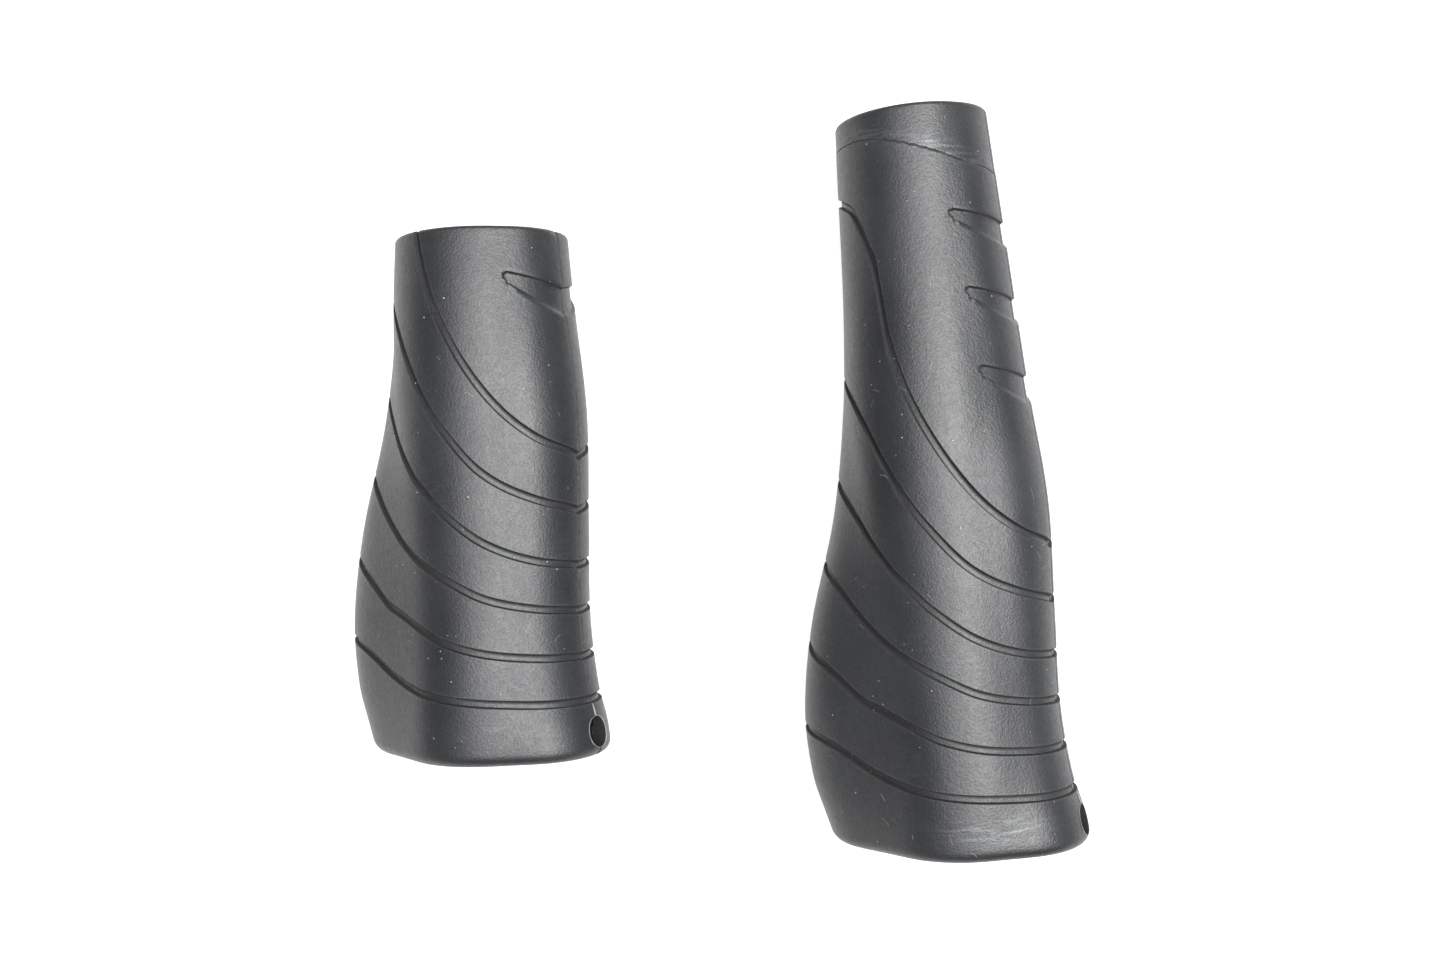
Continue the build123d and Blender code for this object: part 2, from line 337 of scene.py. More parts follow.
# --------------------------------------------------------------------------------------- node tree helper
class Tree:
    """Adds nodes to a node tree in a few words, for shader, group and geometry trees alike."""

    def __init__(self, tree: bpy.types.NodeTree) -> None:
        """Take an empty node tree to build in."""
        self.tree = tree

    def feed(self, node: bpy.types.Node, inputs: dict) -> None:
        """Set or join a node's inputs.

        Args:
            node: The node.
            inputs: Values or output sockets, by the input's name or number.
        """
        for key, value in inputs.items():
            socket = node.inputs[key]
            if isinstance(value, bpy.types.NodeSocket):
                self.tree.links.new(value, socket)
            else:
                socket.default_value = value

    def node(self, kind: str, settings: dict | None = None, inputs: dict | None = None) -> bpy.types.Node:
        """Add a node.

        Args:
            kind: The node's type, such as ShaderNodeMath.
            settings: Properties to set on it, by name.
            inputs: Values or output sockets for its inputs, by name or number.

        Returns:
            The new node.
        """
        made = self.tree.nodes.new(kind)
        for name, value in (settings or {}).items():
            setattr(made, name, value)
        self.feed(made, inputs or {})
        return made

    def math(self, operation: str, *values: object, clamp: bool = False) -> bpy.types.NodeSocket:
        """Add a math node.

        Args:
            operation: What it works out, such as MULTIPLY.
            values: Numbers or sockets, in order.
            clamp: Whether the result is held between 0 and 1.

        Returns:
            Its output.
        """
        settings = {"operation": operation, "use_clamp": clamp}
        return self.node("ShaderNodeMath", settings, dict(enumerate(values))).outputs[0]

    def vector(self, operation: str, *values: object) -> bpy.types.Node:
        """Add a vector math node on values or sockets."""
        return self.node("ShaderNodeVectorMath", {"operation": operation}, dict(enumerate(values)))

    def span(
        self, value: bpy.types.NodeSocket, low: float, high: float, to_low: float = 0.0, to_high: float = 1.0
    ) -> bpy.types.NodeSocket:
        """Map a value from one range to another, held at the ends.

        Args:
            value: The socket to read.
            low: Start of its range.
            high: End of its range.
            to_low: What the start becomes.
            to_high: What the end becomes.

        Returns:
            The mapped value.
        """
        inputs = {"Value": value, "From Min": low, "From Max": high, "To Min": to_low, "To Max": to_high}
        return self.node("ShaderNodeMapRange", {"clamp": True}, inputs).outputs["Result"]

    def mix(self, share: object, first: object, second: object) -> bpy.types.NodeSocket:
        """Mix two colours, all of the second one at a share of 1."""
        return self.node("ShaderNodeMix", {"data_type": "RGBA"}, {0: share, 6: first, 7: second}).outputs[2]

    def noise(
        self, vector: bpy.types.NodeSocket, scale: object, detail: float = 2.0, rough: float = 0.5
    ) -> bpy.types.NodeSocket:
        """Add noise in three dimensions.

        Args:
            vector: Where it is read.
            scale: Lumps to a metre.
            detail: Octaves of finer lumps.
            rough: How strong the finer lumps are.

        Returns:
            The noise, about 0.5 on average.
        """
        inputs = {"Vector": vector, "Scale": scale, "Detail": detail, "Roughness": rough}
        return self.node("ShaderNodeTexNoise", None, inputs).outputs["Fac"]

    def cells(self, vector: bpy.types.NodeSocket, scale: object) -> tuple[bpy.types.Node, object]:
        """Scatter points, each the middle of its own cell.

        Args:
            vector: Where they are read.
            scale: Cells to a metre.

        Returns:
            The node, and three random numbers of each cell as sockets.
        """
        inputs = {"Vector": vector, "Scale": scale, "Randomness": 1.0}
        made = self.node("ShaderNodeTexVoronoi", {"feature": "F1"}, inputs)
        return made, self.node("ShaderNodeSeparateColor", None, {"Color": made.outputs["Color"]}).outputs

    def bump(self, height: bpy.types.NodeSocket, strength: float, distance: float) -> bpy.types.NodeSocket:
        """Turn a height into a normal, for a full height of so many metres."""
        inputs = {"Height": height, "Strength": strength, "Distance": distance}
        return self.node("ShaderNodeBump", None, inputs).outputs["Normal"]


def new_group(
    name: str, inputs: dict[str, float | None], outputs: tuple[str, ...]
) -> tuple[Tree, object, bpy.types.Node]:
    """Start a shader node group with named sockets.

    Args:
        name: The group's name.
        inputs: Input names with their default numbers, or None for a vector.
        outputs: Names of the numbers that it puts out.

    Returns:
        The tree helper, the sockets that the group is given, and its output node.
    """
    group = bpy.data.node_groups.new(name, "ShaderNodeTree")
    for label, value in inputs.items():
        kind = "NodeSocketVector" if value is None else "NodeSocketFloat"
        socket = group.interface.new_socket(name=label, in_out="INPUT", socket_type=kind)
        if value is not None:
            socket.default_value = value
    for label in outputs:
        group.interface.new_socket(name=label, in_out="OUTPUT", socket_type="NodeSocketFloat")
    tree = Tree(group)
    return tree, tree.node("NodeGroupInput").outputs, tree.node("NodeGroupOutput")


class Effect(Enum):
    """Surface effects that finishes are put together from, each one a shader node group."""

    GRAIN = "moulded_grain"
    DUST = "settled_dust"
    SCUFF = "rubbed_patches"
    WEAR = "rubbed_rims"


def build_grain() -> bpy.types.NodeTree:
    """Build the fine pebbled grain of a spark-eroded mould, with a slow change of tone.

    Returns:
        The node group.
    """
    inputs = {"Vector": None, "Scale": 2600.0, "Patch Scale": 60.0}
    tree, given, leave = new_group(Effect.GRAIN.value, inputs, ("Height", "Tone"))
    fine = tree.noise(given["Vector"], given["Scale"], 2.5, 0.65)
    coarse = tree.noise(given["Vector"], tree.math("MULTIPLY", given["Scale"], 0.31))
    slow = tree.noise(given["Vector"], given["Patch Scale"], 3.0, 0.55)
    pebbles = tree.math("MULTIPLY", tree.span(fine, 0.30, 0.70), 0.65)
    swell = tree.math("MULTIPLY", tree.span(coarse, 0.25, 0.75), 0.35)
    tree.feed(leave, {"Height": tree.math("ADD", pebbles, swell), "Tone": tree.span(slow, 0.3, 0.7)})
    return tree.tree


def fibres(tree: Tree, vector: bpy.types.NodeSocket) -> bpy.types.NodeSocket:
    """Add short curved fibres, each a thin bent sheet near a random point where it cuts the surface.

    Args:
        tree: The group's tree.
        vector: Object coordinates in metres.

    Returns:
        The fibres' mask.
    """
    cells_per_metre, share_with_fibre, strength = 190.0, 0.42, 0.35
    sharpest_curl, core, edge = 260.0, 0.00002, 0.00005
    shortest, longest = 0.0004, 0.0013
    cells, chance = tree.cells(vector, cells_per_metre)
    local = tree.vector("SUBTRACT", vector, cells.outputs["Position"]).outputs["Vector"]
    lean = tree.vector("SUBTRACT", cells.outputs["Color"], (0.5, 0.5, 0.5)).outputs["Vector"]
    facing = tree.vector("NORMALIZE", lean).outputs["Vector"]
    across = tree.vector("DOT_PRODUCT", local, facing).outputs["Value"]
    away = tree.vector("LENGTH", local).outputs["Value"]
    curl = tree.span(chance[1], 0.0, 1.0, -sharpest_curl, sharpest_curl)
    bend = tree.math("MULTIPLY", tree.math("MULTIPLY", away, away), curl)
    thread = tree.span(tree.math("ABSOLUTE", tree.math("ADD", across, bend)), core, edge, 1.0, 0.0)
    near = tree.math("LESS_THAN", away, tree.span(chance[2], 0.0, 1.0, shortest, longest))
    kept = tree.math("MULTIPLY", near, tree.math("LESS_THAN", chance[0], share_with_fibre))
    return tree.math("MULTIPLY", tree.math("MULTIPLY", thread, kept), strength)


def build_dust() -> bpy.types.NodeTree:
    """Build sparse pale specks of settled dust, gathered in drifts, and a few thin fibres.

    Returns:
        The node group.
    """
    inputs = {"Vector": None, "Scale": 420.0, "Amount": 0.12}
    tree, given, leave = new_group(Effect.DUST.value, inputs, ("Mask", "Height"))
    drifts_per_metre, least_speck, largest_speck, soft_edge = 90.0, 0.03, 0.13, 0.05
    cells, chance = tree.cells(given["Vector"], given["Scale"])
    size = tree.span(chance[1], 0.0, 1.0, least_speck, largest_speck)
    within = tree.math("SUBTRACT", size, cells.outputs["Distance"])
    chosen = tree.math("LESS_THAN", chance[0], given["Amount"])
    speck = tree.math("MULTIPLY", tree.span(within, 0.0, soft_edge), chosen)
    gathered = tree.span(tree.noise(given["Vector"], drifts_per_metre), 0.38, 0.60, 0.25, 1.0)
    mask = tree.math("MAXIMUM", tree.math("MULTIPLY", speck, gathered), fibres(tree, given["Vector"]))
    tree.feed(leave, {"Mask": mask, "Height": speck})
    return tree.tree


def build_wear() -> bpy.types.NodeTree:
    """Build the broken-up rubbing of rims, from a rim value that the mesh carries.

    Returns:
        The node group.
    """
    inputs = {"Vector": None, "Rim": 0.0, "Scale": 900.0}
    tree, given, leave = new_group(Effect.WEAR.value, inputs, ("Mask",))
    patchy = tree.span(tree.noise(given["Vector"], given["Scale"], 3.0), 0.40, 0.62, 0.15, 1.0)
    tree.feed(leave, {"Mask": tree.math("MULTIPLY", given["Rim"], patchy, clamp=True)})
    return tree.tree


def build_scuff() -> bpy.types.NodeTree:
    """Build streaky rubbed patches: strong where the mesh says so, and faint ones scattered elsewhere.

    Returns:
        The node group.
    """
    tree, given, leave = new_group(Effect.SCUFF.value, {"Vector": None, "Amount": 0.0}, ("Mask",))
    streaks_per_metre, patches_per_metre, faint = (160.0, 1500.0, 300.0), 85.0, 0.16
    stretch = {"Vector": given["Vector"], "Scale": streaks_per_metre}
    streaked = tree.noise(tree.node("ShaderNodeMapping", None, stretch).outputs["Vector"], 1.0, 4.0, 0.6)
    scattered = tree.span(tree.noise(given["Vector"], patches_per_metre, 3.0), 0.60, 0.78, 0.0, faint)
    amount = tree.math("ADD", given["Amount"], scattered)
    mask = tree.math("MULTIPLY", amount, tree.span(streaked, 0.46, 0.66), clamp=True)
    tree.feed(leave, {"Mask": mask})
    return tree.tree


BUILDERS = {
    Effect.GRAIN: build_grain,
    Effect.DUST: build_dust,
    Effect.SCUFF: build_scuff,
    Effect.WEAR: build_wear,
}


def effect(tree: Tree, which: Effect, inputs: dict[str, object]) -> object:
    """Place one of the effects in a material.

    Args:
        tree: The material's tree.
        which: The effect, built on first use.
        inputs: Values or sockets for the group's inputs.

    Returns:
        The effect's output sockets.
    """
    group = bpy.data.node_groups.get(which.value) or BUILDERS[which]()
    return tree.node("ShaderNodeGroup", {"node_tree": group}, inputs).outputs


# ------------------------------------------------------------------------------------------------ finishes
@dataclass(frozen=True)
class Finish:
    """What every finish has: a name, and a material whose shader is set up by dress()."""

    name: str

    def material(self) -> bpy.types.Material:
        """Build the finish's material, or find it if it is already built.

        Returns:
            The material.
        """
        title = f"{self.name}_finish"
        found = bpy.data.materials.get(title)
        if found:
            return found
        made = bpy.data.materials.new(title)
        made.use_nodes = True
        made.node_tree.nodes.clear()
        tree = Tree(made.node_tree)
        shader = tree.node("ShaderNodeBsdfPrincipled")
        tree.node("ShaderNodeOutputMaterial", None, {"Surface": shader.outputs["BSDF"]})
        self.dress(tree, shader, tree.node("ShaderNodeTexCoord").outputs["Object"])
        return made

    def dress(self, tree: Tree, shader: bpy.types.Node, place: bpy.types.NodeSocket) -> None:
        """Set up the shader. Each finish has its own way.

        Args:
            tree: The material's tree.
            shader: Its Principled node.
            place: Object coordinates.
        """
        raise NotImplementedError


def attribute(tree: Tree, name: str) -> bpy.types.NodeSocket:
    """Number that a mesh carries at its points."""
    return tree.node("ShaderNodeAttribute", {"attribute_name": name}).outputs["Fac"]


@dataclass(frozen=True)
class RubberFinish(Finish):
    """Satin black moulded rubber with fine grain, dust, paler rubbed rims and painted shade in its grooves
    and other recesses.
    """

    dark: tuple = (0.0048, 0.0052, 0.0062, 1.0)
    light: tuple = (0.0092, 0.0098, 0.0112, 1.0)
    rim: tuple = (0.053, 0.055, 0.059, 1.0)
    worn: tuple = (0.14, 0.145, 0.15, 1.0)
    # Near-black colour of the painted shade in the grooves, notch walls, seam, crease and access hole.
    deep: tuple = (0.001, 0.001, 0.001, 1.0)
    dust: tuple = (0.40, 0.40, 0.40, 1.0)
    grain_scale: float = 2400.0
    patch_scale: float = 55.0
    wear_scale: float = 900.0
    dust_scale: float = 740.0
    dust_amount: float = 0.34
    grain_depth: float = 0.000045
    smooth_rough: tuple = (0.41, 0.49)
    pebble_rough: float = 0.07
    rubbed_rough: float = -0.14
    # Extra roughness where the recesses carry painted shade.
    cavity_rough: float = 0.5

    def dress(self, tree: Tree, shader: bpy.types.Node, place: bpy.types.NodeSocket) -> None:
        """Set up grain, rim wear, painted shade in the channels and other recesses, dust and the satin sheen
        of rubber.

        Args:
            tree: The material's tree.
            shader: Its Principled node.
            place: Object coordinates.
        """
        grain = effect(
            tree, Effect.GRAIN, {"Vector": place, "Scale": self.grain_scale, "Patch Scale": self.patch_scale}
        )
        dust_inputs = {"Vector": place, "Scale": self.dust_scale, "Amount": self.dust_amount}
        dust = effect(tree, Effect.DUST, dust_inputs)
        rims = {"Vector": place, "Rim": attribute(tree, "rim"), "Scale": self.wear_scale}
        wear = effect(tree, Effect.WEAR, rims)["Mask"]
        rubbed = effect(tree, Effect.SCUFF, {"Vector": place, "Amount": attribute(tree, "scuff")})["Mask"]
        # Mask of the recesses, where shade is painted in as near-black colour.
        cavity = tree.math("MINIMUM", attribute(tree, "cavity"), 1.0)
        layers = (
            (grain["Height"], 0.26, self.rim),
            (wear, 0.25, self.rim),
            (rubbed, 0.6, self.worn),
            # Painted shade: the recesses are darkened almost to black.
            (cavity, 0.9, self.deep),
            (attribute(tree, "lip"), 0.55, self.dust),
            (dust["Mask"], 0.62, self.dust),
        )
        colour = tree.mix(grain["Tone"], self.dark, self.light)
        for mask, strength, paint in layers:
            colour = tree.mix(tree.math("MULTIPLY", mask, strength), colour, paint)
        toned = tree.span(grain["Tone"], 0.0, 1.0, *self.smooth_rough)
        pebbled = tree.span(grain["Height"], 0.0, 1.0, self.pebble_rough, -self.pebble_rough)
        rough = tree.math("MULTIPLY_ADD", rubbed, self.rubbed_rough, tree.math("ADD", toned, pebbled))
        rough = tree.math("MULTIPLY_ADD", cavity, self.cavity_rough, rough, clamp=True)
        height = tree.math("MULTIPLY_ADD", dust["Height"], 0.6, grain["Height"])
        normal = tree.bump(height, 1.0, self.grain_depth)
        tree.feed(shader, {"Base Color": colour, "Roughness": rough, "Normal": normal})


@dataclass(frozen=True)
class PlasticFinish(Finish):
    """Hard moulded plastic with a faint grain."""

    dark: tuple = (0.03, 0.03, 0.032, 1.0)
    light: tuple = (0.045, 0.045, 0.048, 1.0)
    rough: float = 0.42
    grain_scale: float = 3400.0
    patch_scale: float = 90.0
    grain_depth: float = 0.00006

    def dress(self, tree: Tree, shader: bpy.types.Node, place: bpy.types.NodeSocket) -> None:
        """Set up a slow change of tone and a shallow grain.

        Args:
            tree: The material's tree.
            shader: Its Principled node.
            place: Object coordinates.
        """
        grain = effect(
            tree, Effect.GRAIN, {"Vector": place, "Scale": self.grain_scale, "Patch Scale": self.patch_scale}
        )
        colour = tree.mix(grain["Tone"], self.dark, self.light)
        rough = tree.span(grain["Tone"], 0.0, 1.0, self.rough - 0.05, self.rough + 0.07)
        normal = tree.bump(grain["Height"], 0.18, self.grain_depth)
        tree.feed(shader, {"Base Color": colour, "Roughness": rough, "Normal": normal})


@dataclass(frozen=True)
class MetalFinish(Finish):
    """Turned metal, with fine tool marks and small changes of tone."""

    dark: tuple = (0.55, 0.56, 0.57, 1.0)
    light: tuple = (0.72, 0.73, 0.74, 1.0)
    rough: float = 0.32
    metallic: float = 1.0
    grain_scale: float = 1400.0
    patch_scale: float = 140.0
    mark_scale: float = 420.0
    mark_depth: float = 0.00004

    def dress(self, tree: Tree, shader: bpy.types.Node, place: bpy.types.NodeSocket) -> None:
        """Set up tool marks and tone.

        Args:
            tree: The material's tree.
            shader: Its Principled node.
            place: Object coordinates.
        """
        grain = effect(
            tree, Effect.GRAIN, {"Vector": place, "Scale": self.grain_scale, "Patch Scale": self.patch_scale}
        )
        squeezed = tree.node("ShaderNodeMapping", None, {"Vector": place, "Scale": (1.0, 30.0, 1.0)})
        marks = tree.noise(squeezed.outputs["Vector"], self.mark_scale, 4.0)
        colour = tree.mix(grain["Tone"], self.dark, self.light)
        rough = tree.span(marks, 0.3, 0.7, self.rough - 0.08, self.rough + 0.12)
        normal = tree.bump(tree.math("MULTIPLY_ADD", grain["Height"], 0.25, marks), 0.25, self.mark_depth)
        tree.feed(shader, {"Base Color": colour, "Roughness": rough, "Normal": normal})
        shader.inputs["Metallic"].default_value = self.metallic


RUBBER = RubberFinish("black_rubber")
NYLON = PlasticFinish(
    "grey_nylon", dark=(0.10, 0.10, 0.105, 1.0), light=(0.14, 0.14, 0.145, 1.0), rough=0.48
)
CAP_PLASTIC = PlasticFinish("cap_plastic")
DARK_ALUMINIUM = MetalFinish(
    "ring_aluminium", dark=(0.09, 0.09, 0.095, 1.0), light=(0.16, 0.16, 0.17, 1.0), rough=0.34
)
BRASS = MetalFinish("pad_brass", dark=(0.56, 0.40, 0.17, 1.0), light=(0.75, 0.57, 0.29, 1.0), rough=0.30)
BLACK_STEEL = MetalFinish(
    "screw_steel", dark=(0.05, 0.05, 0.055, 1.0), light=(0.10, 0.10, 0.11, 1.0), rough=0.36, metallic=0.9
)


# ------------------------------------------------------------------------------------ geometry node trees
def relief_nodes(finish: Finish) -> bpy.types.NodeTree:
    """Build the tree that sinks the moulded relief into a smooth skin.

    Args:
        finish: The finish that the skin gets.

    Returns:
        A geometry node tree with the depths as named inputs, in metres.
    """
    group = bpy.data.node_groups.get("moulded_relief")
    if group:
        return group
    group = bpy.data.node_groups.new("moulded_relief", "GeometryNodeTree")
    group.interface.new_socket(name="Geometry", in_out="INPUT", socket_type="NodeSocketGeometry")
    for label in RELIEF_DEPTHS.values():
        group.interface.new_socket(name=label, in_out="INPUT", socket_type="NodeSocketFloat")
    group.interface.new_socket(name="Geometry", in_out="OUTPUT", socket_type="NodeSocketGeometry")
    tree = Tree(group)
    given, leave = tree.node("NodeGroupInput").outputs, tree.node("NodeGroupOutput")
    total = None
    for mask, label in RELIEF_DEPTHS.items():
        read = tree.node("GeometryNodeInputNamedAttribute", {"data_type": "FLOAT"}, {"Name": mask})
        sunk = tree.math("MULTIPLY", read.outputs["Attribute"], given[label])
        total = sunk if total is None else tree.math("ADD", total, sunk)
    outward = tree.node(
        "GeometryNodeInputNamedAttribute", {"data_type": "FLOAT_VECTOR"}, {"Name": "outward"}
    )
    offset = tree.vector("SCALE", outward.outputs["Attribute"])
    tree.feed(offset, {"Scale": tree.math("MULTIPLY", total, -1.0)})
    move = {"Geometry": given["Geometry"], "Offset": offset.outputs["Vector"]}
    moved = tree.node("GeometryNodeSetPosition", None, move)
    real = tree.node("GeometryNodeRealizeInstances", None, {"Geometry": moved.outputs["Geometry"]})
    paint = {"Geometry": real.outputs["Geometry"], "Material": finish.material()}
    dressed = tree.node("GeometryNodeSetMaterial", None, paint)
    tree.feed(leave, {"Geometry": dressed.outputs["Geometry"]})
    return group


def grow(obj: bpy.types.Object, group: bpy.types.NodeTree, values: dict[str, float]) -> bpy.types.Object:
    """Run a geometry node tree on an object and keep the result as its plain mesh.

    Args:
        obj: The object to work on.
        group: The tree.
        values: The tree's inputs by name.

    Returns:
        The same object with its new mesh and no modifier.
    """
    modifier = obj.modifiers.new(group.name, "NODES")
    modifier.node_group = group
    names = {item.name: item.identifier for item in group.interface.items_tree if item.in_out == "INPUT"}
    for name, value in values.items():
        modifier[names[name]] = value
    evaluated = obj.evaluated_get(bpy.context.evaluated_depsgraph_get())
    mesh = bpy.data.meshes.new_from_object(evaluated)
    obj.modifiers.remove(modifier)
    old = obj.data
    obj.data = mesh
    bpy.data.meshes.remove(old)
    mesh.name = obj.name
    return obj


# ------------------------------------------------------------------------------------------- mesh building
@dataclass(frozen=True)
class Seat:
    """Where a grip sits in the frame: its outboard end, its finger side and its bar axis."""

    origin: Vector
    front: Vector
    axis: Vector

    @classmethod
    def of(cls, size: Size, lip: float) -> "Seat":
        """Read a grip's seat from the frame.

        Args:
            size: Which grip.
            lip: Rubber past the inboard end of the bar bore, in metres.

        Returns:
            The seat.
        """
        mount = next(m for m in frame["record"]["mounts"] if m["name"] == f"{size.label}_bar_bore")
        turn = next(j for j in frame["joints"] if j["name"] == f"{size.label}_screw_turn")
        axis = Vector(mount["axis"]).normalized()
        front = Vector(turn["axis"]).normalized()
        inboard = Vector(mount["pos_m"]) + lip * axis
        return cls(inboard - size.value * MM * axis, front, axis)

    def matrix(self) -> Matrix:
        """Work out where the seat is.

        Returns:
            The matrix from millimetres on the seat to metres in the frame.
        """
        side = self.axis.cross(self.front)
        turn = Matrix((self.front, side, self.axis)).transposed().to_4x4()
        return Matrix.Translation(self.origin) @ turn @ Matrix.Scale(MM, 4)


@dataclass
class SkinMesh:
    """Vertices with their relief values, and faces, gathered on a grip's seat in millimetres."""

    points: list = field(default_factory=list)
    values: dict = field(default_factory=lambda: {name: [] for name in VALUE_NAMES})
    outward: list = field(default_factory=list)
    faces: list = field(default_factory=list)
    count: int = 0

    def add(
        self, points: np.ndarray, outward: np.ndarray | None = None, **values: np.ndarray
    ) -> np.ndarray:
        """Add points.

        Args:
            points: The points, any shape with X, Y, Z last.
            outward: Their outward directions, for the ones that carry relief.
            values: Relief values by name, 0 where a name is left out.

        Returns:
            The new vertices' numbers, in the shape of the points without the last axis.
        """
        shape = points.shape[:-1]
        size = int(np.prod(shape))
        self.points.append(points.reshape(-1, 3))
        self.outward.append(np.zeros((size, 3)) if outward is None else outward.reshape(-1, 3))
        for name, rows in self.values.items():
            rows.append(np.broadcast_to(values.get(name, 0.0), shape).reshape(-1))
        first = self.count
        self.count += size
        return np.arange(first, first + size).reshape(shape)

    def loft(self, *rings: np.ndarray) -> None:
        """Join closed rings of vertices by faces, each ring to the next one."""
        for first, second in zip(rings, rings[1:]):
            ahead = (np.roll(first, -1), np.roll(second, -1))
            self.faces += zip(first, ahead[0], ahead[1], second)

    def to_mesh(self, name: str) -> bpy.types.Mesh:
        """Make the mesh, with the relief values as point attributes.

        Args:
            name: The mesh's name.

        Returns:
            The mesh, without the vertices that no face uses.
        """
        mesh = bpy.data.meshes.new(name)
        used = np.zeros(self.count, bool)
        used[np.array([corner for face in self.faces for corner in face])] = True
        number = np.cumsum(used) - 1
        points = np.concatenate(self.points)[used]
        faces = [[int(number[corner]) for corner in face] for face in self.faces]
        mesh.from_pydata(points.tolist(), [], faces)
        for label, rows in self.values.items():
            layer = mesh.attributes.new(label, "FLOAT", "POINT")
            layer.data.foreach_set("value", np.concatenate(rows)[used].astype(np.float32))
        layer = mesh.attributes.new("outward", "FLOAT_VECTOR", "POINT")
        layer.data.foreach_set("vector", np.concatenate(self.outward)[used].astype(np.float32).ravel())
        return mesh


@dataclass
class RubberBody:
    """The rubber body of one grip: skin, rounded ends, cap recess, ring pocket and access hole."""

    size: Size
    shape: GripShape = GripShape()
    relief: Relief = Relief()
    groove_depth: float = 0.6
    notch_depth: float = 0.55
    seam_depth: float = 0.24
    witness_depth: float = 0.14
    inboard_round: float = 0.7
    cap_recess: float = 13.45
    cap_depth: float = 1.2
    ring_radius: float = 15.0
    pocket_end: float = 8.2
    sleeve_radius: float = 12.1
    lip_bore: float = 11.6
    lip_width: float = 1.0
    screw_place: float = 4.3
    access_radius: float = 2.65
    boss_radius: float = 2.8
    boss_reach: float = 18.4
    patch_degrees: float = 14.0
    patch_margin: float = 0.5
    outboard_rows: tuple = (0.0, 0.04, 0.15, 0.34, 0.6, 0.9, 1.25, 1.7, 2.2)
    groove_rows: tuple = (-1.15, -0.86, -0.72, -0.62, -0.52, -0.42, 0.0, 0.42, 0.52, 0.62, 0.72, 0.86, 1.15)
    witness_rows: tuple = (-0.5, -0.22, -0.1, 0.0, 0.1, 0.22, 0.5)
    notch_shares: tuple = (
        0.0, 0.05, 0.1, 0.16, 0.23, 0.32, 0.45, 0.58, 0.7, 0.8, 0.87, 0.91, 0.94, 0.965, 0.985, 1.0
    )

    # ---- set-out
    def columns(self) -> np.ndarray:
        """Set out the mesh columns, closest at the seams and where the notches end.

        Returns:
            Their angles from the finger edge, in radians.
        """
        half = [0.0, 0.25, 0.5, 0.75, 1.1, 1.9]
        half += list(np.arange(3.0, 36.0, 1.35)) + list(np.arange(36.3, 54.0, 0.95))
        half += list(np.arange(54.5, 126.0, 1.45)) + list(np.arange(127.0, 178.6, 1.8))
        half += [178.6, 179.2, 179.5, 179.75, 180.0]
        return np.radians(np.array(half + [360.0 - angle for angle in half[-2:0:-1]]))

    def rows(self, turns: np.ndarray) -> np.ndarray:
        """Distances from the outboard end of the mesh rows, one row of the array for each mesh row.

        Rows run along both edges of every groove, along the notches and along the witness line, so that
        each edge of the relief lies on a line of the mesh.

        Args:
            turns: Angles of the columns, in radians.

        Returns:
            The distances, mesh rows by columns.
        """
        relief, shape = self.relief, self.shape
        degrees = np.degrees(np.minimum(turns, 2 * np.pi - turns))
        ones = np.ones_like(degrees)
        across = np.array(self.groove_rows)
        bands = []
        for number in range(relief.groove_count):
            middle = relief.groove_place(degrees, number)
            stretch = self.steepness(turns, middle)
            bands.append(middle[None] + across[:, None] * stretch[None])
        rows = [place * ones for place in self.outboard_rows]
        rows += self.between(rows[-1], bands[0][0], 8)
        for number, band in enumerate(bands):
            rows += list(band)
            if number + 1 < len(bands):
                rows += self.between(band[-1], bands[number + 1][0], 8)
        witness = relief.witness_place(degrees)
        rows += self.notch_rows(degrees, bands[-1][-1], witness + self.witness_rows[0])
        rows += [witness + offset for offset in self.witness_rows]
        rows += self.between(rows[-1], shape.full_length * ones, 9)
        rows.append(shape.full_length * ones)
        return np.array(rows)

    def steepness(self, turns: np.ndarray, places: np.ndarray) -> np.ndarray:
        """How far a step across a line on the skin reaches along the bar axis, per unit of the step.

        Args:
            turns: Angles of the columns.
            places: The line's distances from the outboard end.

        Returns:
            One number for each column, at least 1.
        """
        reach = self.shape.reach(turns, places)
        points = np.stack([reach * np.cos(turns), reach * np.sin(turns)], -1)
        ahead, behind = np.roll(points, -1, 0), np.roll(points, 1, 0)
        girth = np.linalg.norm(ahead - behind, axis=-1)
        climb = np.roll(places, -1) - np.roll(places, 1)
        return np.minimum(np.hypot(1.0, climb / girth), 6.0)

    @staticmethod
    def between(low: np.ndarray, high: np.ndarray, count: int) -> list[np.ndarray]:
        """Rows spaced evenly between two rows, without the two."""
        return [low + (high - low) * step / (count + 1) for step in range(1, count + 1)]

    def notch_rows(self, degrees: np.ndarray, low: np.ndarray, high: np.ndarray) -> list[np.ndarray]:
        """Rows from the last groove to the witness line, led along the finger notches.

        Args:
            degrees: Folded angles of the columns.
            low: The row that they start after.
            high: The row that they end before.

        Returns:
            The rows in order.
        """
        shares, hold = self.notch_shares, 56.0
        fixed = np.minimum(degrees, hold)
        at_hold = np.abs(degrees - hold).argmin()
        edges = []
        for number in range(len(self.relief.notches)):
            opening, crest = self.relief.notch_band(fixed, number)
            edges += [opening + share * (crest - opening) for share in shares]
        held = [(edge[at_hold] - low[at_hold]) / (high[at_hold] - low[at_hold]) for edge in edges]
        settled = ease((degrees - hold + 8.0) / 8.0)
        guides = []
        for edge, share in zip(edges, held):
            guides.append(edge + settled * (low + share * (high - low) - edge))
        rows = self.between(low, guides[0], 34)
        for number in range(len(self.relief.notches)):
            own = guides[number * len(shares):(number + 1) * len(shares)]
            after = guides[(number + 1) * len(shares)] if number + 1 < len(self.relief.notches) else high
            rows += own + self.between(own[-1], after, 14)
        return rows

